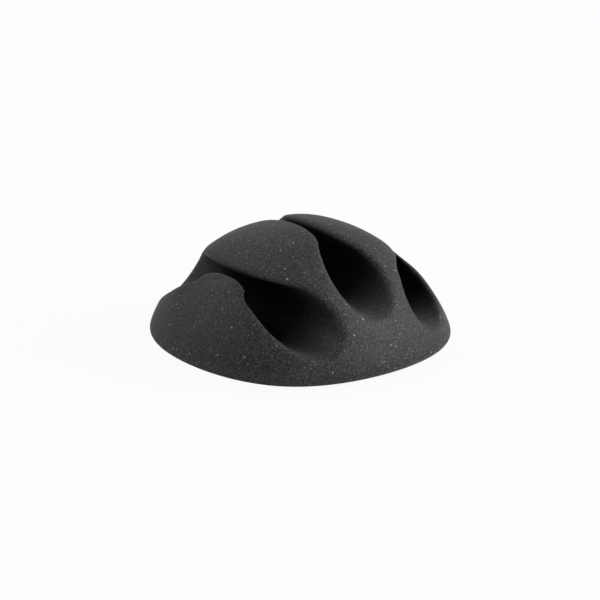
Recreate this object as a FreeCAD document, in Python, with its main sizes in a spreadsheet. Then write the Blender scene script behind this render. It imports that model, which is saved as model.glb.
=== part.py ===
import FreeCAD, Part

import os

import Sketcher
from FreeCAD import Placement, Rotation, Vector

# Adhesive clip for three cables, in millimetres, resting on its pad with +Z up.
# X runs across the channels and Y runs along them. The origin is the middle of the underside.

doc = FreeCAD.newDocument("cable_clip")

# Driving dimensions

driving_dimensions = [
    ("body_width", 43.6, "moulded body across the channels"),
    ("body_depth", 44.2, "moulded body along the channels"),
    ("body_height", 18.8, "moulded body from its foot to the crown"),
    ("corner_fullness", 0.749, "reach of the plan's corners, 0.707 being an ellipse"),
    ("widest_height", 1.5, "widest line above the foot"),
    ("foot_inset", 2.0, "turn-in of the foot below the widest line"),
    ("flank_power", 1.32, "steepness of the flanks"),
    ("crown_power", 2.17, "roundness of the crown"),
    ("channel_radius", 4.2, "channel at its grip"),
    ("grip_length", 8.0, "straight stretch in the middle of a channel"),
    ("mouth_radius", 4.6, "channel at its mouths"),
    ("mouth_reach", 19.0, "mouths from the middle, along the channel"),
    ("middle_cover", 6.0, "crown down to the middle channel's axis"),
    ("channel_pitch", 11.4, "middle axis to a side axis, across the body"),
    ("side_cover", 6.6, "body surface straight down to a side channel's axis"),
    ("side_tilt", 24.0, "outward lean of the side slits in degrees"),
    ("slit_width", 1.2, "gap between two lips at its narrowest"),
    ("slit_flare", 30.0, "radius of a lip's edge in plan"),
    ("lip_reach", 13.0, "ends of the lips from the middle, along the channel"),
    ("edge_round", 0.4, "rounding of lips and mouths"),
    ("pad_thickness", 1.0, "foam tape"),
    ("pad_recess", 0.5, "depth of the pad's seat in the foot"),
    ("pad_border", 1.5, "foot left around the seat"),
    ("pad_clearance", 0.25, "gap around the pad in its seat"),
    ("liner_thickness", 0.1, "release film under the pad"),
]
sizes = doc.addObject("Spreadsheet::Sheet", "Sizes")
for row, (alias, number, note) in enumerate(driving_dimensions, start=1):
    sizes.set("A%d" % row, alias)
    sizes.set("B%d" % row, str(number))
    sizes.set("C%d" % row, note)
    sizes.setAlias("B%d" % row, alias)
doc.recompute()


def size(alias):
    return float(sizes.get(alias))


# Levels and reaches that several features share, as expressions of the sheet

half_width = "(Sizes.body_width / 2)"
half_depth = "(Sizes.body_depth / 2)"
pad_top = "(Sizes.liner_thickness + Sizes.pad_thickness)"
foot_level = "(%s - Sizes.pad_recess)" % pad_top
widest_level = "(%s + Sizes.widest_height)" % foot_level
crown_level = "(%s + Sizes.body_height)" % foot_level
dome_height = "(Sizes.body_height - Sizes.widest_height)"
side_share = "(1 - (Sizes.channel_pitch / %s)^Sizes.crown_power)^(1 / Sizes.flank_power)" % half_width
middle_axis_level = "(%s - Sizes.middle_cover)" % crown_level
side_axis_level = "(%s + %s * %s - Sizes.side_cover)" % (widest_level, dome_height, side_share)

# An outline's closed cubic spline has eight poles. These shares put the curve on the wanted
# half widths and through the wanted corner.

corner_pole = "((6 * Sizes.corner_fullness - 1.5) / 3.5)"
side_pole = "(1.5 - %s / 2)" % corner_pole

# Past the body on every side, so that cuts and channels come out of it

beyond = "(Sizes.body_width + Sizes.body_depth) / 3"


def origin_plane(body, role):
    return [item for item in body.Origin.OriginFeatures if item.Role == role][0]


def new_sketch(body, name, role):
    sketch = body.newObject("Sketcher::SketchObject", name)
    sketch.AttachmentSupport = [(origin_plane(body, role), "")]
    sketch.MapMode = "FlatFace"
    return sketch


def drive(sketch, kind, places, name, expression, start):
    """Add a named dimension whose value comes from the sheet."""
    index = sketch.addConstraint(Sketcher.Constraint(kind, *places, start))
    sketch.renameConstraint(index, name)
    sketch.setExpression("Constraints." + name, expression)


def outline_sketch(body, name, level, across, along):
    """A rounded square: one closed spline, held by its poles."""
    sketch = new_sketch(body, name, "XY_Plane")
    sketch.setExpression("AttachmentOffset.Base.z", level)
    unit = [(0.8, 0.8), (0, 1), (-0.8, 0.8), (-1, 0), (-0.8, -0.8), (0, -1), (0.8, -0.8), (1, 0)]
    reach = size("body_width") / 2
    spline = Part.BSplineCurve()
    poles = [Vector(x * reach, y * reach, 0) for x, y in unit]
    spline.buildFromPolesMultsKnots(poles, [1] * 9, list(range(9)), True, 3)
    sketch.exposeInternalGeometry(sketch.addGeometry(spline, False))
    corner, back, right, centre = 1, 2, 8, 3
    sketch.addConstraint([
        Sketcher.Constraint("PointOnObject", right, centre, -1),
        Sketcher.Constraint("PointOnObject", back, centre, -2),
        Sketcher.Constraint("Symmetric", corner, centre, 3, centre, -2),
        Sketcher.Constraint("Symmetric", corner, centre, 7, centre, -1),
        Sketcher.Constraint("Symmetric", corner, centre, 5, centre, -1, 1),
        Sketcher.Constraint("Symmetric", right, centre, 4, centre, -1, 1),
        Sketcher.Constraint("Symmetric", back, centre, 6, centre, -1, 1),
    ])
    drive(sketch, "DistanceX", (-1, 1, right, centre), "side_x", "%s * %s" % (across, side_pole), reach)
    drive(sketch, "DistanceX", (-1, 1, corner, centre), "corner_x", "%s * %s" % (across, corner_pole), reach)
    drive(sketch, "DistanceY", (-1, 1, corner, centre), "corner_y", "%s * %s" % (along, corner_pole), reach)
    drive(sketch, "DistanceY", (-1, 1, back, centre), "side_y", "%s * %s" % (along, side_pole), reach)
    return sketch


# Moulded body: a loft through rounded squares, from the foot over the crown

clip_body = doc.addObject("PartDesign::Body", "clip_body")
sections = []
for angle in (0, 25, 50, 72):
    inset = "Sizes.foot_inset * (1 - sin(%s deg))" % angle
    level = "%s + Sizes.widest_height * (1 - cos(%s deg))" % (foot_level, angle)
    sections.append(outline_sketch(
        clip_body, "FootOutline%02d" % angle, level,
        "(%s - %s)" % (half_width, inset), "(%s - %s)" % (half_depth, inset)))
for angle in (0, 12, 24, 35, 45, 54, 62, 69, 75, 80, 84, 87, 89.2):
    share = "cos(%s deg)^(2 / Sizes.crown_power)" % angle
    level = "%s + %s * sin(%s deg)^(2 / Sizes.flank_power)" % (widest_level, dome_height, angle)
    sections.append(outline_sketch(
        clip_body, "DomeOutline%02d" % angle, level,
        "%s * %s" % (half_width, share), "%s * %s" % (half_depth, share)))
doc.recompute()
dome = clip_body.newObject("PartDesign::AdditiveLoft", "Dome")
dome.Profile = sections[0]
dome.Sections = sections[1:]
doc.recompute()


def join(sketch, pairs):
    for first, first_end, second, second_end in pairs:
        sketch.addConstraint(Sketcher.Constraint("Coincident", first, first_end, second, second_end))


def cut_feature(kind, name, sketch):
    """A groove or pocket of the clip's body, set up on its recomputed sketch."""
    doc.recompute()
    feature = clip_body.newObject("PartDesign::" + kind, name)
    feature.Profile = sketch
    return feature


def channel(name, offset, level):
    """A round channel along Y: a straight grip that flares towards both mouths."""
    sketch = new_sketch(clip_body, name + "Profile", "YZ_Plane")
    sketch.setExpression("AttachmentOffset.Base.z", offset)
    end = (size("body_width") + size("body_depth")) / 3
    grip = size("grip_length") / 2
    low = -size("channel_radius")
    rise = size("mouth_radius") - size("channel_radius")
    run = size("mouth_reach") - grip
    flare = (run ** 2 + rise ** 2) / (2 * rise)
    half, lowest = [low - flare + (flare ** 2 - (part * (end - grip)) ** 2) ** 0.5 for part in (0.5, 1)]
    middle = (grip + end) / 2
    left_end, left_arc, neck, right_arc, right_end, axis = range(6)
    sketch.addGeometry([
        Part.LineSegment(Vector(-end, 0, 0), Vector(-end, lowest, 0)),
        Part.Arc(Vector(-end, lowest, 0), Vector(-middle, half, 0), Vector(-grip, low, 0)),
        Part.LineSegment(Vector(-grip, low, 0), Vector(grip, low, 0)),
        Part.Arc(Vector(grip, low, 0), Vector(middle, half, 0), Vector(end, lowest, 0)),
        Part.LineSegment(Vector(end, lowest, 0), Vector(end, 0, 0)),
        Part.LineSegment(Vector(end, 0, 0), Vector(-end, 0, 0)),
    ], False)
    join(sketch, [(left_end, 2, left_arc, 2), (right_arc, 1, right_end, 1),
                  (right_end, 2, axis, 1), (axis, 2, left_end, 1)])
    sketch.addConstraint([
        Sketcher.Constraint("Tangent", left_arc, 1, neck, 1),
        Sketcher.Constraint("Tangent", neck, 2, right_arc, 2),
        Sketcher.Constraint("Equal", left_arc, right_arc),
        Sketcher.Constraint("Vertical", left_end),
        Sketcher.Constraint("Vertical", right_end),
        Sketcher.Constraint("Symmetric", neck, 1, neck, 2, -2),
        Sketcher.Constraint("Symmetric", axis, 1, axis, 2, -2),
    ])
    rise_rule = "(Sizes.mouth_radius - Sizes.channel_radius)"
    run_rule = "(Sizes.mouth_reach - Sizes.grip_length / 2)"
    flare_rule = "(%s^2 + %s^2) / (2 * %s)" % (run_rule, rise_rule, rise_rule)
    drive(sketch, "DistanceY", (-1, 1, axis, 1), "axis_level", level, 0)
    drive(sketch, "DistanceX", (axis, 2, axis, 1), "whole_length", "2 * " + beyond, 2 * end)
    drive(sketch, "DistanceX", (neck, 1, neck, 2), "grip", "Sizes.grip_length", 2 * grip)
    drive(sketch, "DistanceY", (neck, 2, axis, 1), "radius", "Sizes.channel_radius", -low)
    drive(sketch, "Radius", (right_arc,), "flare", flare_rule, flare)
    groove = cut_feature("Groove", name, sketch)
    groove.ReferenceAxis = (sketch, ["Edge%d" % (axis + 1)])
    groove.Angle = 360
    doc.recompute()
    return groove


def slit(name, offset, level, lean):
    """The way in to a channel: a gap between two curved lips, widening to the channel itself."""
    sketch = new_sketch(clip_body, name + "Outline", "XY_Plane")
    sketch.AttachmentOffset = Placement(Vector(), Rotation(Vector(0, 1, 0), size("side_tilt")))
    sketch.setExpression("AttachmentOffset.Base.x", offset)
    sketch.setExpression("AttachmentOffset.Base.z", level)
    sketch.setExpression("AttachmentOffset.Rotation.Angle", lean)
    end = (size("body_width") + size("body_depth")) / 3
    near = size("slit_width") / 2
    turn = size("lip_reach")
    centre = near + size("slit_flare")
    wide = centre - (size("slit_flare") ** 2 - turn ** 2) ** 0.5
    left_lip, left_back, back, right_back, right_lip, right_front, front, left_front = range(8)
    sketch.addGeometry([
        Part.Arc(Vector(-wide, -turn, 0), Vector(-near, 0, 0), Vector(-wide, turn, 0)),
        Part.LineSegment(Vector(-wide, turn, 0), Vector(-wide, end, 0)),
        Part.LineSegment(Vector(-wide, end, 0), Vector(wide, end, 0)),
        Part.LineSegment(Vector(wide, end, 0), Vector(wide, turn, 0)),
        Part.Arc(Vector(wide, turn, 0), Vector(near, 0, 0), Vector(wide, -turn, 0)),
        Part.LineSegment(Vector(wide, -turn, 0), Vector(wide, -end, 0)),
        Part.LineSegment(Vector(wide, -end, 0), Vector(-wide, -end, 0)),
        Part.LineSegment(Vector(-wide, -end, 0), Vector(-wide, -turn, 0)),
    ], False)
    join(sketch, [(left_lip, 2, left_back, 1), (left_back, 2, back, 1), (back, 2, right_back, 1),
                  (right_back, 2, right_lip, 1), (right_lip, 2, right_front, 1),
                  (right_front, 2, front, 1), (front, 2, left_front, 1), (left_front, 2, left_lip, 1)])
    sketch.addConstraint([
        Sketcher.Constraint("Vertical", left_back),
        Sketcher.Constraint("Vertical", right_back),
        Sketcher.Constraint("Vertical", right_front),
        Sketcher.Constraint("Vertical", left_front),
        Sketcher.Constraint("Symmetric", back, 1, back, 2, -2),
        Sketcher.Constraint("Symmetric", front, 1, back, 2, -1),
        Sketcher.Constraint("Symmetric", left_lip, 1, left_lip, 2, -1),
        Sketcher.Constraint("Symmetric", left_lip, 3, right_lip, 3, -2),
        Sketcher.Constraint("Horizontal", front),
        Sketcher.Constraint("Equal", left_lip, right_lip),
    ])
    centre_rule = "Sizes.slit_width / 2 + Sizes.slit_flare"
    drive(sketch, "DistanceX", (-1, 1, right_lip, 3), "lip_centre", centre_rule, centre)
    drive(sketch, "DistanceY", (-1, 1, right_lip, 1), "lip_reach", "Sizes.lip_reach", turn)
    drive(sketch, "DistanceY", (-1, 1, back, 2), "reach", beyond, end)
    drive(sketch, "Radius", (right_lip,), "lip_radius", "Sizes.slit_flare", size("slit_flare"))
    pocket = cut_feature("Pocket", name, sketch)
    pocket.Type = "Length"
    pocket.Reversed = True
    pocket.setExpression("Length", "Sizes.body_height")
    doc.recompute()
    return pocket


# Channels and slits: one in the middle, one on the right and its mirror image on the left

stages = [dome]
stages.append(channel("MiddleChannel", "0 mm", middle_axis_level))
stages.append(slit("MiddleSlit", "0 mm", middle_axis_level, "0 deg"))
stages.append(channel("SideChannel", "Sizes.channel_pitch", side_axis_level))
stages.append(slit("SideSlit", "Sizes.channel_pitch", side_axis_level, "Sizes.side_tilt"))
other_side = clip_body.newObject("PartDesign::Mirrored", "OtherSide")
other_side.Originals = stages[-2:]
other_side.MirrorPlane = (origin_plane(clip_body, "YZ_Plane"), [""])
clip_body.Tip = other_side
doc.recompute()
stages.append(other_side)


def surface_kind(face):
    """What a face belongs to, by its kind of surface and where that surface's axis points."""
    surface = face.Surface
    if surface.TypeId == "Part::GeomBSplineSurface":
        return "outside"
    if surface.TypeId == "Part::GeomPlane" and abs(surface.Axis.z) > abs(surface.Axis.x):
        return "foot"
    return "channel" if abs(surface.Axis.y) > abs(surface.Axis.z) else "slit"


def round_edges(name, base, radius):
    """Round the rims of the channels and slits, and the lips between them."""
    edges = []
    for number, edge in enumerate(base.Shape.Edges, start=1):
        kinds = {surface_kind(face) for face in base.Shape.ancestorsOfType(edge, Part.Face)}
        if len(kinds) == 2 and "foot" not in kinds:
            edges.append("Edge%d" % number)
    rounding = clip_body.newObject("PartDesign::Fillet", name)
    rounding.Base = (base, edges)
    rounding.setExpression("Radius", radius)
    clip_body.Tip = rounding
    doc.recompute()
    return rounding


# Rounded rims and lips

stages.append(round_edges("Edges", other_side, "Sizes.edge_round"))

# Seat of the pad, cut up into the foot

seat_inset = "(Sizes.foot_inset + Sizes.pad_border)"
seat_outline = outline_sketch(clip_body, "SeatOutline", foot_level,
                              "(%s - %s)" % (half_width, seat_inset), "(%s - %s)" % (half_depth, seat_inset))
seat = cut_feature("Pocket", "PadSeat", seat_outline)
seat.Type = "Length"
seat.Reversed = True
seat.setExpression("Length", "Sizes.pad_recess")
doc.recompute()
stages.append(seat)


def layer(name, level, thickness):
    """A flat layer under the body, with the pad's outline."""
    body = doc.addObject("PartDesign::Body", name)
    inset = "(%s + Sizes.pad_clearance)" % seat_inset
    outline = outline_sketch(body, name + "_outline", level,
                             "(%s - %s)" % (half_width, inset), "(%s - %s)" % (half_depth, inset))
    doc.recompute()
    sheet = body.newObject("PartDesign::Pad", name + "_sheet")
    sheet.Profile = outline
    sheet.Type = "Length"
    sheet.setExpression("Length", thickness)
    doc.recompute()
    return body


# Foam tape and its release film

adhesive_pad = layer("adhesive_pad", "Sizes.liner_thickness", "Sizes.pad_thickness")
release_liner = layer("release_liner", "0 mm", "Sizes.liner_thickness")

# Nothing is written unless every feature worked, every cut cut, and every piece is sound

for item in doc.Objects:
    if "Invalid" in item.State or "Error" in item.State:
        raise RuntimeError("%s failed: %s" % (item.Name, item.State))
for before, after in zip(stages, stages[1:]):
    if round(after.Shape.Volume) >= round(before.Shape.Volume):
        raise RuntimeError("%s took nothing away" % after.Name)
pieces = [clip_body, adhesive_pad, release_liner]
for piece in pieces:
    shape = piece.Shape
    if shape.isNull() or not shape.isValid() or len(shape.Solids) != 1:
        raise RuntimeError("%s is not one sound solid" % piece.Label)
    print(piece.Label, "volume", round(shape.Volume, 1), "box", shape.BoundBox)

os.makedirs("parts", exist_ok=True)
for piece in pieces:
    piece.Shape.exportStep("parts/%s.step" % piece.Label)
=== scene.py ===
import math

import bpy
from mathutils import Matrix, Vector


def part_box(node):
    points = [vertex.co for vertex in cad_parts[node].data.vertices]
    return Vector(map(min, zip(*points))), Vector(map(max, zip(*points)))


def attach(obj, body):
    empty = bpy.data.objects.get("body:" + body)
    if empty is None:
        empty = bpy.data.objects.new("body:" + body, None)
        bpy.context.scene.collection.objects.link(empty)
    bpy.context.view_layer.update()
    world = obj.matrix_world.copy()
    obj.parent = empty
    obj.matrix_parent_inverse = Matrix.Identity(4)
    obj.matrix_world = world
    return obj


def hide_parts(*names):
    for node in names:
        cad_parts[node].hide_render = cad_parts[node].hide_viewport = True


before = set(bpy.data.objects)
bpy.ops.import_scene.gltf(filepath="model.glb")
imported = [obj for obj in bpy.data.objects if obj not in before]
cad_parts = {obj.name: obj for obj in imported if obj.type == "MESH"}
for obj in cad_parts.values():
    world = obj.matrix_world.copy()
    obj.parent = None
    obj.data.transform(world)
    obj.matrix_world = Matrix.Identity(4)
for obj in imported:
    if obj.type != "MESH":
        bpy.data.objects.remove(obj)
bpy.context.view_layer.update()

scene = bpy.context.scene
mm = 0.001


# Small helpers for modelling by operators

def deselectAll():
    if bpy.context.mode != "OBJECT":
        bpy.ops.object.mode_set(mode="OBJECT")
    bpy.ops.object.select_all(action="DESELECT")


def pick(piece):
    deselectAll()
    piece.select_set(True)
    bpy.context.view_layer.objects.active = piece


def nameIt(name):
    piece = bpy.context.object
    piece.name = name
    piece.data.name = name
    bpy.ops.object.transform_apply(location=True, rotation=True, scale=True)
    return piece


def applyModifiers(piece):
    pick(piece)
    for modifier in list(piece.modifiers):
        bpy.ops.object.modifier_apply(modifier=modifier.name)


def liveVertices(piece):
    piece.update_from_editmode()
    return piece.data.vertices


def closeAndOrient(piece):
    pick(piece)
    bpy.ops.object.mode_set(mode="EDIT")
    bpy.ops.mesh.select_mode(type="VERT")
    bpy.ops.mesh.select_all(action="DESELECT")
    bpy.ops.mesh.select_non_manifold()
    if any(vertex.select for vertex in liveVertices(piece)):
        bpy.ops.mesh.edge_face_add()
    bpy.ops.mesh.select_all(action="SELECT")
    bpy.ops.mesh.normals_make_consistent(inside=False)
    bpy.ops.object.mode_set(mode="OBJECT")


def push(piece, distance, groupName=""):
    # Moves the skin along its normals, outwards or, with a minus, inwards
    modifier = piece.modifiers.new("push", "DISPLACE")
    modifier.mid_level = 0
    modifier.strength = distance
    modifier.vertex_group = groupName
    applyModifiers(piece)


def soften(piece, passes, groupName=""):
    modifier = piece.modifiers.new("soften", "SMOOTH")
    modifier.factor = body["softness"]
    modifier.iterations = passes
    modifier.vertex_group = groupName
    applyModifiers(piece)


def nearGroup(piece, places):
    # Weighs the skin near the places, in all four quarters, fading out to each place's reach
    piece.vertex_groups.clear()
    group = piece.vertex_groups.new(name="near")
    for vertex in piece.data.vertices:
        here = Vector((abs(vertex.co.x), abs(vertex.co.y), vertex.co.z))
        share = max(1 - (here - Vector(place)).length / reach for place, reach in places)
        if share > 0:
            group.add([vertex.index], share, "REPLACE")
    return group.name


def remesh(piece):
    modifier = piece.modifiers.new("skin", "REMESH")
    modifier.mode = "VOXEL"
    modifier.voxel_size = body["voxel"]
    applyModifiers(piece)


def grow(piece, distance):
    # Thickens the piece in small steps, which rolls a radius of that size round its outer corners
    steps = math.ceil(distance / body["growStep"])
    for step in range(steps):
        remesh(piece)
        push(piece, distance / steps)
    remesh(piece)


def cutAway(piece, cutter):
    modifier = piece.modifiers.new("cut", "BOOLEAN")
    modifier.operation = "DIFFERENCE"
    modifier.solver = "MANIFOLD"
    modifier.object = cutter
    applyModifiers(piece)
    bpy.data.objects.remove(cutter)


def growRings(rings):
    # Extrudes the open ring from place to place, resized on the way
    bpy.ops.object.mode_set(mode="EDIT")
    bpy.ops.mesh.select_mode(type="FACE")
    bpy.ops.mesh.select_all(action="SELECT")
    for (place, size), (nextPlace, nextSize) in zip(rings, rings[1:]):
        step = Vector(nextPlace) - Vector(place)
        ratio = [after / before for before, after in zip(size, nextSize)]
        bpy.ops.mesh.extrude_region_move(TRANSFORM_OT_translate={"value": step})
        bpy.ops.transform.resize(value=ratio, center_override=nextPlace)
    bpy.ops.object.mode_set(mode="OBJECT")


def smoothShade(piece):
    pick(piece)
    bpy.ops.object.shade_smooth()


# Body: a cage of eight-sided rings, stacked from the foot over the crown and subdivided

clipLow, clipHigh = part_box("clip_body")
body = {
    "halfWidth": (clipHigh.x - clipLow.x) / 2,
    "halfDepth": (clipHigh.y - clipLow.y) / 2,
    "foot": clipLow.z,                 # underside of the moulding
    "height": clipHigh.z - clipLow.z,
    "cornerFullness": 0.749,           # 0.707 would be an ellipse
    "widestHeight": 1.5 * mm,
    "footInset": 2.0 * mm,
    "flankPower": 1.32,
    "crownPower": 2.17,
    "footAngles": (0, 25, 50, 72),
    "domeAngles": (0, 12, 24, 35, 45, 54, 62, 69, 75, 80, 84, 87, 89.2),
    "footRing": 0.8,                   # of the foot's outline, and flat across
    "levels": 4,                       # of subdivision
    "voxel": 0.2 * mm,
    "rimRadius": 0.6 * mm,             # rims of the channels
    "lipRadius": 0.23 * mm,            # outer lips, which are thin
    "growStep": 0.16 * mm,
    "softness": 0.5,
    "softeningPasses": 24,
    "triangles": 180000,
    "cutterOverrun": 6.0 * mm,         # past the body, at both ends
}
channel = {
    "pitch": 11.4 * mm,
    "middleCover": 6.0 * mm,
    "sideLevel": 9.483 * mm,
    "gripRadius": 4.2 * mm,
    "gripReach": 4.0 * mm,
    "mouthRadius": 4.6 * mm,
    "mouthReach": 19.0 * mm,
    "firstCutAside": 0.7,              # of the rim's radius
    "firstCutBelow": 0.7,
    "sides": 96,
    "stations": 16,
}
slit = {
    "halfWidth": 0.6 * mm,
    "flare": 30.0 * mm,
    "lipReach": 13.0 * mm,
    "lean": 24.0,
    "stations": 40,
}
seat = {"border": 1.5 * mm, "depth": 0.5 * mm}
sideLips = {                           # places in one of the four quarters, each with its reach
    "tips": (                          # the lips run out to points here
        ((14.8 * mm, 5.7 * mm, 12.2 * mm), 3.8 * mm),
        ((9.4 * mm, 12.6 * mm, 13.2 * mm), 3.0 * mm),
    ),
    "tipPasses": 160,
    "rims": (                          # the outer rims, just past those points
        ((15.3 * mm, 8.2 * mm, 11.0 * mm), 4.4 * mm),
    ),
    "rimFill": 0.2 * mm,
}


def outlinePoles():
    # Corner and side points that put the smoothed ring on its wanted corner and half widths. A
    # smoothed point is a sixth of four times itself and its two neighbours.
    corner = (6 * body["cornerFullness"] - 1.5) / 3.5
    return corner, 1.5 - corner / 2


def roundedSquareRing(name, level, across, along):
    # Eight points, with the four corners pushed out; it smooths to the plan's outline
    corner, side = outlinePoles()
    bpy.ops.mesh.primitive_circle_add(
        vertices=8, radius=1, fill_type="NGON", location=(0, 0, level))
    ring = nameIt(name)
    bpy.ops.object.mode_set(mode="EDIT")
    bpy.ops.mesh.select_mode(type="VERT")
    bpy.ops.mesh.select_all(action="DESELECT")
    bpy.ops.object.mode_set(mode="OBJECT")
    for vertex in ring.data.vertices:
        vertex.select = abs(vertex.co.x * vertex.co.y) > 0.1
    bpy.ops.object.mode_set(mode="EDIT")
    stretch = corner * math.sqrt(2) / side
    bpy.ops.transform.resize(value=(stretch, stretch, 1), center_override=(0, 0, level))
    bpy.ops.mesh.select_all(action="SELECT")
    bpy.ops.transform.resize(value=(across * side, along * side, 1), center_override=(0, 0, level))
    bpy.ops.object.mode_set(mode="OBJECT")
    return ring


def domeSections():
    # Half width, half depth and level of each section, from the foot to the crown
    sections = []
    for angle in body["footAngles"]:
        turn = math.radians(angle)
        inset = body["footInset"] * (1 - math.sin(turn))
        level = body["foot"] + body["widestHeight"] * (1 - math.cos(turn))
        sections.append((body["halfWidth"] - inset, body["halfDepth"] - inset, level))
    for angle in body["domeAngles"]:
        turn = math.radians(angle)
        share = math.cos(turn) ** (2 / body["crownPower"])
        rise = (body["height"] - body["widestHeight"]) * math.sin(turn) ** (2 / body["flankPower"])
        level = body["foot"] + body["widestHeight"] + rise
        sections.append((body["halfWidth"] * share, body["halfDepth"] * share, level))
    return sections


def cageRings():
    # The sections, moved so that the smoothed cage passes through them
    sections = domeSections()
    halfWidth, halfDepth, level = sections[0]
    flat = Vector((body["footRing"] * halfWidth, body["footRing"] * halfDepth, level))
    path = [flat] + [Vector(section) for section in sections]
    rings = [path[0]]
    for before, here, after in zip(path, path[1:], path[2:]):
        rings.append(here - (before - 2 * here + after) / 6)
    rings.append(path[-1])
    return rings


def makeBody():
    rings = cageRings()
    first = rings[0]
    cage = roundedSquareRing("clipMoulding", first.z, first.x, first.y)
    growRings([((0, 0, ring.z), (ring.x, ring.y, 1)) for ring in rings])
    closeAndOrient(cage)
    subdivision = cage.modifiers.new("round", "SUBSURF")
    subdivision.levels = subdivision.render_levels = body["levels"]
    applyModifiers(cage)
    return cage


def channelRadius(reach):
    # Straight at the grip, then flaring to the mouth
    run = channel["mouthReach"] - channel["gripReach"]
    rise = channel["mouthRadius"] - channel["gripRadius"]
    flare = (run ** 2 + rise ** 2) / (2 * rise)
    past = max(0, abs(reach) - channel["gripReach"])
    return channel["gripRadius"] + flare - math.sqrt(flare ** 2 - past ** 2)


def spread(end, count):
    return [end * (2 * step / count - 1) for step in range(count + 1)]


def makeChannel(offset, level, margin):
    end = body["halfDepth"] + body["cutterOverrun"]
    stations = [(y, channelRadius(y) + margin) for y in spread(end, channel["stations"])]
    bpy.ops.mesh.primitive_circle_add(
        vertices=channel["sides"], radius=stations[0][1], fill_type="NGON",
        location=(offset, -end, level), rotation=(math.pi / 2, 0, 0))
    bore = nameIt("channelCutter")
    growRings([((offset, y, level), (radius, 1, radius)) for y, radius in stations])
    closeAndOrient(bore)
    return bore


def slitHalfWidth(reach):
    # The lips bow apart from the middle, and run straight past their ends
    bent = min(abs(reach), slit["lipReach"])
    return slit["halfWidth"] + slit["flare"] - math.sqrt(slit["flare"] ** 2 - bent ** 2)


def makeSlit(offset, level, lean, margin):
    end = body["halfDepth"] + body["cutterOverrun"]
    stations = [(y, slitHalfWidth(y) + margin) for y in spread(end, slit["stations"])]
    tall = body["height"]
    bpy.ops.mesh.primitive_plane_add(
        size=2, location=(0, -end, tall / 2), rotation=(math.pi / 2, 0, 0))
    gap = bpy.context.object
    gap.scale = (stations[0][1], tall / 2, 1)
    gap = nameIt("slitCutter")
    growRings([((0, y, tall / 2), (width, 1, 1)) for y, width in stations])
    closeAndOrient(gap)
    gap.rotation_euler = (0, math.radians(lean), 0)
    gap.location = (offset, 0, level)
    pick(gap)
    bpy.ops.object.transform_apply(location=True, rotation=True, scale=True)
    return gap


def makeLayer(name, inset, low, high):
    # A flat layer with the foot's outline, set in from the body's widest line
    layer = roundedSquareRing(name, low, body["halfWidth"] - inset, body["halfDepth"] - inset)
    outline = layer.modifiers.new("round", "SUBSURF")
    outline.levels = outline.render_levels = body["levels"]
    applyModifiers(layer)
    growRings([((0, 0, low), (1, 1, 1)), ((0, 0, high), (1, 1, 1))])
    closeAndOrient(layer)
    return layer


def shapeSideLips(piece):
    # Fills the rims past the tips, then rounds the tips off
    push(piece, sideLips["rimFill"], nearGroup(piece, sideLips["rims"]))
    soften(piece, sideLips["tipPasses"], nearGroup(piece, sideLips["tips"]))
    piece.vertex_groups.clear()


# The body is cut while it is too slim, and grown back. The wide rims are cut first. The side
# channels' first cut lies towards the middle, so that their outer lips keep the smaller radius.

middleLevel = body["foot"] + body["height"] - channel["middleCover"]
rim, lip = body["rimRadius"], body["lipRadius"]
clipMoulding = makeBody()
push(clipMoulding, -rim)
remesh(clipMoulding)
print("dome", len(clipMoulding.data.polygons), "faces")
cutAway(clipMoulding, makeChannel(0, middleLevel, rim))
cutAway(clipMoulding, makeSlit(0, middleLevel, 0, rim))
for side in (1, -1):
    offset = side * (channel["pitch"] - rim * channel["firstCutAside"])
    level = channel["sideLevel"] - rim * channel["firstCutBelow"]
    cutAway(clipMoulding, makeChannel(offset, level, 0))
    cutAway(clipMoulding, makeSlit(offset, level, side * slit["lean"], 0))
grow(clipMoulding, rim - lip)
print("wide rims", len(clipMoulding.data.polygons), "faces")

for side in (1, -1):
    offset, level = side * channel["pitch"], channel["sideLevel"]
    cutAway(clipMoulding, makeChannel(offset, level, lip))
    cutAway(clipMoulding, makeSlit(offset, level, side * slit["lean"], lip))
cutAway(clipMoulding, makeLayer(
    "seatCutter", body["footInset"] + seat["border"] - lip,
    body["foot"] - seat["depth"], body["foot"] + seat["depth"] + lip))
grow(clipMoulding, lip)
shapeSideLips(clipMoulding)
print("lips", len(clipMoulding.data.polygons), "faces")

soften(clipMoulding, body["softeningPasses"])
thin = clipMoulding.modifiers.new("thin", "DECIMATE")
thin.ratio = min(1, body["triangles"] / (2 * len(clipMoulding.data.polygons)))
applyModifiers(clipMoulding)
smoothShade(clipMoulding)
print("body", len(clipMoulding.data.polygons), "faces")
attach(clipMoulding, "root")
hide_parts("clip_body")


# Foam tape in the foot's seat, with slightly soft edges

tapeLow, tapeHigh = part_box("adhesive_pad")
tape = {
    "inset": body["footInset"] + seat["border"] + 0.25 * mm,
    "edge": 0.12 * mm,
    "edgeSteps": 3,
    "sharpAngle": 40,                  # degrees
}
foamTape = makeLayer("foamTape", tape["inset"], tapeLow.z, tapeHigh.z)
softEdge = foamTape.modifiers.new("edge", "BEVEL")
softEdge.width = tape["edge"]
softEdge.segments = tape["edgeSteps"]
softEdge.limit_method = "ANGLE"
applyModifiers(foamTape)
pick(foamTape)
bpy.ops.object.shade_smooth_by_angle(angle=math.radians(tape["sharpAngle"]))
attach(foamTape, "root")
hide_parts("adhesive_pad")
print("tape", len(foamTape.data.polygons), "faces")


# Finishes. Textures read the object's own coordinates, so their scales are per metre.

noiseSpan = (0.3, 0.7)                 # most of a noise's values lie in it


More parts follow.
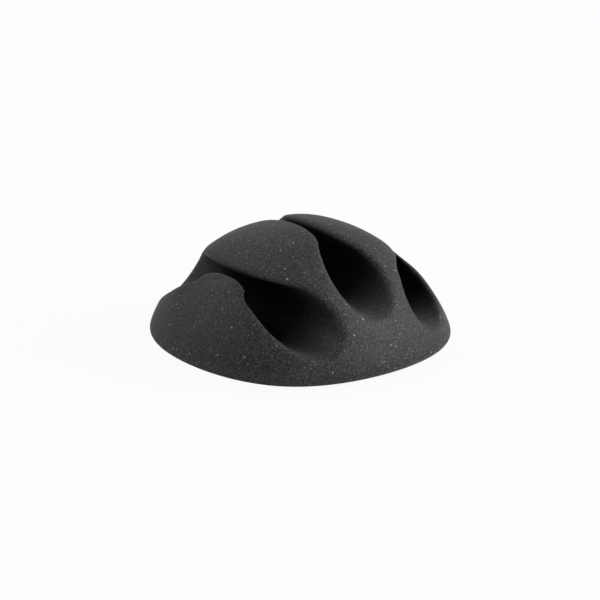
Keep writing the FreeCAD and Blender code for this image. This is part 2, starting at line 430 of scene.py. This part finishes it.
class Finish:
    def __init__(self, name):
        self.material = bpy.data.materials.new(name)
        self.material.use_nodes = True
        self.nodes = self.material.node_tree.nodes
        self.links = self.material.node_tree.links
        self.shader = self.nodes["Principled BSDF"]
        self.place = self.nodes.new("ShaderNodeTexCoord").outputs["Object"]

    def noise(self, scale, detail):
        node = self.nodes.new("ShaderNodeTexNoise")
        node.inputs["Scale"].default_value = scale
        node.inputs["Detail"].default_value = detail
        self.links.new(self.place, node.inputs["Vector"])
        return node.outputs["Fac"]

    def cells(self, scale):
        node = self.nodes.new("ShaderNodeTexVoronoi")
        node.inputs["Scale"].default_value = scale
        self.links.new(self.place, node.inputs["Vector"])
        return node.outputs["Distance"], node.outputs["Color"]

    def fit(self, source, fromLow, fromHigh, toLow=0.0, toHigh=1.0):
        node = self.nodes.new("ShaderNodeMapRange")
        numbers = {"From Min": fromLow, "From Max": fromHigh, "To Min": toLow, "To Max": toHigh}
        for name, number in numbers.items():
            node.inputs[name].default_value = number
        self.links.new(source, node.inputs["Value"])
        return node.outputs["Result"]

    def combine(self, operation, first, second):
        node = self.nodes.new("ShaderNodeMath")
        node.operation = operation
        self.links.new(first, node.inputs[0])
        self.links.new(second, node.inputs[1])
        return node.outputs[0]

    def mix(self, share, first, second):
        node = self.nodes.new("ShaderNodeMix")
        node.data_type = "RGBA"
        self.links.new(share, node.inputs[0])
        for socket, colour in ((node.inputs[6], first), (node.inputs[7], second)):
            if isinstance(colour, tuple):
                socket.default_value = (*colour, 1)
            else:
                self.links.new(colour, socket)
        return node.outputs[2]

    def bump(self, height, strength, distance):
        node = self.nodes.new("ShaderNodeBump")
        node.inputs["Strength"].default_value = strength
        node.inputs["Distance"].default_value = distance
        self.links.new(height, node.inputs["Height"])
        self.links.new(node.outputs["Normal"], self.shader.inputs["Normal"])


rubberLook = {
    "dark": (0.003, 0.0031, 0.003),
    "light": (0.0715, 0.073, 0.0665),
    "grain": 3800,
    "grainSpan": (0.38, 0.62),
    "grainShare": 0.8,                 # of the tone, the rest being blotches
    "grainRelief": (0.45, 0.06 * mm),  # strength and depth
    "blotch": 160,
    "hollowShade": (0.002, 0.002, 0.002),   # painted shade deep in the channels
    "hollowShadeReach": 9.0 * mm,
    "hollowShadeSamples": 8,
    # gloss and sheen where the painted shade is full
    "hollowShadeShine": 0.02,
    "hollowShadeSpan": (0.46, 0.88),              # openness at which the painted shade is full, and from which it is gone
    "gloss": 0.42,
    "sheen": 0.15,
    "sheenRoughness": 0.4,
    # colour of the painted highlight on convex rims
    "rimHighlight": (0.075, 0.076, 0.072),
    "rimHighlightPointiness": (0.51, 0.6),          # pointiness at which the painted highlight on rims starts, and where it is full
    # largest share of the painted highlight
    "mostRimHighlight": 0.35,
    "dust": (0.42, 0.42, 0.405),
    # Cells per metre, and the largest share of them that holds a speck
    "dustCells": ((1250, 0.32), (2300, 0.4), (3600, 0.7)),
    "dustSize": 0.24,
    "dustOpen": (0.72, 0.95),
    "dustDrifts": 85,
    "driftSpan": (0.4, 0.6),
    "thinDust": 0.2,                   # of the most, between the drifts
    "roughness": (0.52, 0.68),
}


def rubberFinish():
    finish = Finish("charcoalRubber")
    grain = finish.noise(rubberLook["grain"], 4)
    blotch = finish.noise(rubberLook["blotch"], 3)
    share = rubberLook["grainShare"]
    tone = finish.combine("ADD", finish.fit(grain, *rubberLook["grainSpan"], 0, share),
                          finish.fit(blotch, *noiseSpan, 0, 1 - share))
    colour = finish.mix(tone, rubberLook["dark"], rubberLook["light"])

    # Painted highlight: convex rims are painted a little lighter
    edges = finish.nodes.new("ShaderNodeNewGeometry").outputs["Pointiness"]
    rimHighlightShare = finish.fit(edges, *rubberLook["rimHighlightPointiness"], 0, rubberLook["mostRimHighlight"])
    colour = finish.mix(rimHighlightShare, colour, rubberLook["rimHighlight"])

    # Dust: pale specks in cells picked at random, more of them in the drifts, none in hollows
    # How enclosed each place is: it keeps dust out of the hollows and paints shade into them
    hollowShade = finish.nodes.new("ShaderNodeAmbientOcclusion")
    hollowShade.samples = rubberLook["hollowShadeSamples"]
    hollowShade.only_local = True
    hollowShade.inputs["Distance"].default_value = rubberLook["hollowShadeReach"]
    dusty = finish.fit(hollowShade.outputs["AO"], *rubberLook["dustOpen"])
    drifts = finish.noise(rubberLook["dustDrifts"], 2)
    for cells, most in rubberLook["dustCells"]:
        distance, chance = finish.cells(cells)
        split = finish.nodes.new("ShaderNodeSeparateColor")
        finish.links.new(chance, split.inputs[0])
        crowd = finish.fit(drifts, *rubberLook["driftSpan"], rubberLook["thinDust"] * most, most)
        there = finish.combine("LESS_THAN", split.outputs["Red"], crowd)
        speck = finish.fit(distance, rubberLook["dustSize"], rubberLook["dustSize"] / 2)
        bright = finish.combine("MULTIPLY", there, speck)
        bright = finish.combine("MULTIPLY", bright, split.outputs["Green"])
        bright = finish.combine("MULTIPLY", bright, dusty)
        colour = finish.mix(bright, colour, rubberLook["dust"])

    # Painted shade: deep places get a darker colour and duller gloss and sheen
    shut, wide = rubberLook["hollowShadeSpan"]
    colour = finish.mix(finish.fit(hollowShade.outputs["AO"], shut, wide), rubberLook["hollowShade"], colour)
    finish.links.new(colour, finish.shader.inputs["Base Color"])
    shines = {"Specular IOR Level": rubberLook["gloss"], "Sheen Weight": rubberLook["sheen"]}
    for name, most in shines.items():
        shine = finish.fit(hollowShade.outputs["AO"], shut, wide, rubberLook["hollowShadeShine"], most)
        finish.links.new(shine, finish.shader.inputs[name])

    roughness = finish.fit(blotch, *noiseSpan, *rubberLook["roughness"])
    finish.links.new(roughness, finish.shader.inputs["Roughness"])
    finish.shader.inputs["Sheen Roughness"].default_value = rubberLook["sheenRoughness"]
    finish.bump(grain, *rubberLook["grainRelief"])
    return finish.material


foamLook = {
    "cells": 3200,
    "cellSpan": (0.1, 0.7),
    "deep": (0.006, 0.006, 0.0065),
    "rim": (0.02, 0.02, 0.021),
    "blotch": 400,
    "roughness": (0.8, 0.95),
    "relief": (0.6, 0.08 * mm),
}


def foamFinish():
    finish = Finish("blackFoam")
    distance, chance = finish.cells(foamLook["cells"])
    cellWall = finish.fit(distance, *foamLook["cellSpan"])
    shade = finish.mix(cellWall, foamLook["deep"], foamLook["rim"])
    finish.links.new(shade, finish.shader.inputs["Base Color"])
    roughness = finish.fit(finish.noise(foamLook["blotch"], 2), *noiseSpan, *foamLook["roughness"])
    finish.links.new(roughness, finish.shader.inputs["Roughness"])
    finish.bump(distance, *foamLook["relief"])
    return finish.material


filmLook = {
    "haze": 220,
    "hazy": (0.7, 0.7, 0.66),
    "clear": (0.78, 0.78, 0.74),
    "roughness": (0.22, 0.34),
    "waves": 60,
    "relief": (0.15, 0.2 * mm),
}


def filmFinish():
    finish = Finish("releaseFilm")
    haze = finish.noise(filmLook["haze"], 3)
    shade = finish.mix(finish.fit(haze, *noiseSpan), filmLook["hazy"], filmLook["clear"])
    finish.links.new(shade, finish.shader.inputs["Base Color"])
    roughness = finish.fit(haze, *noiseSpan, *filmLook["roughness"])
    finish.links.new(roughness, finish.shader.inputs["Roughness"])
    finish.bump(finish.noise(filmLook["waves"], 2), *filmLook["relief"])
    return finish.material


clipMoulding.data.materials.clear()
clipMoulding.data.materials.append(rubberFinish())
foamTape.data.materials.append(foamFinish())
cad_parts["release_liner"].material_slots[0].material = filmFinish()
print("finishes done")


# Floor, light and camera

studio = {
    "floorSize": 6,
    "floorColour": (0.85, 0.85, 0.85),
    "floorRoughness": 0.9,
    "floorWhiteness": 0.95,            # share of plain white that the camera sees
    "surround": 0.28,                  # light from all round
    "lampTarget": (0, 0, 8 * mm),
}
bpy.ops.mesh.primitive_plane_add(size=studio["floorSize"], location=(0, 0, 0))
floor = nameIt("floor")


def floorFinish():
    # The camera sees it nearly white, with a trace of the object's shadow
    material = bpy.data.materials.new("paleFloor")
    material.use_nodes = True
    nodes, links = material.node_tree.nodes, material.node_tree.links
    shader = nodes["Principled BSDF"]
    shader.inputs["Base Color"].default_value = (*studio["floorColour"], 1)
    shader.inputs["Roughness"].default_value = studio["floorRoughness"]
    white = nodes.new("ShaderNodeEmission")
    white.inputs["Strength"].default_value = 1
    path = nodes.new("ShaderNodeLightPath")
    mix = nodes.new("ShaderNodeMixShader")
    share = nodes.new("ShaderNodeMath")
    share.operation = "MULTIPLY"
    share.inputs[1].default_value = studio["floorWhiteness"]
    links.new(path.outputs["Is Camera Ray"], share.inputs[0])
    links.new(share.outputs[0], mix.inputs[0])
    links.new(shader.outputs[0], mix.inputs[1])
    links.new(white.outputs[0], mix.inputs[2])
    links.new(mix.outputs[0], nodes["Material Output"].inputs["Surface"])
    return material


floor.data.materials.append(floorFinish())

world = bpy.data.worlds.new("studio") if scene.world is None else scene.world
scene.world = world
world.use_nodes = True
worldNodes, worldLinks = world.node_tree.nodes, world.node_tree.links
worldNodes.clear()
surround = worldNodes.new("ShaderNodeBackground")
surround.inputs["Color"].default_value = (1, 1, 1, 1)
surround.inputs["Strength"].default_value = studio["surround"]
backdrop = worldNodes.new("ShaderNodeBackground")
backdrop.inputs["Strength"].default_value = 1
path = worldNodes.new("ShaderNodeLightPath")
choose = worldNodes.new("ShaderNodeMixShader")
worldOut = worldNodes.new("ShaderNodeOutputWorld")
worldLinks.new(path.outputs["Is Camera Ray"], choose.inputs[0])
worldLinks.new(surround.outputs[0], choose.inputs[1])
worldLinks.new(backdrop.outputs[0], choose.inputs[2])
worldLinks.new(choose.outputs[0], worldOut.inputs["Surface"])


def softLamp(name, place, target, size, power):
    bpy.ops.object.light_add(type="AREA", location=place)
    lamp = bpy.context.object
    lamp.name = name
    lamp.data.shape = "DISK"
    lamp.data.size = size
    lamp.data.energy = power
    lamp.rotation_mode = "QUATERNION"
    lamp.rotation_quaternion = (Vector(place) - Vector(target)).to_track_quat("Z", "Y")
    return lamp


lamps = {                              # place, size across and power in watts
    "keyLamp": ((0.30, -0.38, 0.35), 0.35, 1.75),
    "lowLamp": ((0.5, -0.30, 0.18), 0.3, 0.4),
    "sideLamp": ((0.6, -0.05, 0.4), 0.4, 0.3),
    "backLamp": ((-0.35, 0.5, 0.45), 0.4, 0.75),
    "rimLamp": ((0.25, 0.55, 0.45), 0.4, 0.3),
}
deselectAll()
for name, (place, size, power) in lamps.items():
    softLamp(name, place, studio["lampTarget"], size, power)
print("lamps done")

view = {
    "azimuth": -39.5,
    "elevation": 19.5,
    "distance": 0.4,
    "pixelsPerMetre": 6500,            # at that distance
    "imageSize": 600,
    "sensorWidth": 36,
    "nearest": 0.01,
    "footPixel": (299.84, 337.6),      # where the photo shows the middle of the body's foot
}
bpy.ops.object.camera_add()
camera = bpy.context.object
camera.name = "photoCamera"
azimuth, elevation = math.radians(view["azimuth"]), math.radians(view["elevation"])
back = Vector((math.sin(azimuth) * math.cos(elevation), -math.cos(azimuth) * math.cos(elevation),
               math.sin(elevation)))
right = Vector((math.cos(azimuth), math.sin(azimuth), 0))
up = back.cross(right)
footMiddle = Vector((0, 0, body["foot"]))
aside = (view["imageSize"] / 2 - view["footPixel"][0]) / view["pixelsPerMetre"]
above = (view["footPixel"][1] - view["imageSize"] / 2) / view["pixelsPerMetre"]
aim = footMiddle + right * aside + up * above
camera.location = footMiddle + back * view["distance"]
camera.rotation_mode = "QUATERNION"
camera.rotation_quaternion = (camera.location - aim).to_track_quat("Z", "Y")
fieldWidth = view["imageSize"] / view["pixelsPerMetre"]
camera.data.sensor_width = view["sensorWidth"]
camera.data.lens = view["sensorWidth"] * view["distance"] / fieldWidth
camera.data.clip_start = view["nearest"]
scene.camera = camera
scene.view_settings.view_transform = "Standard"
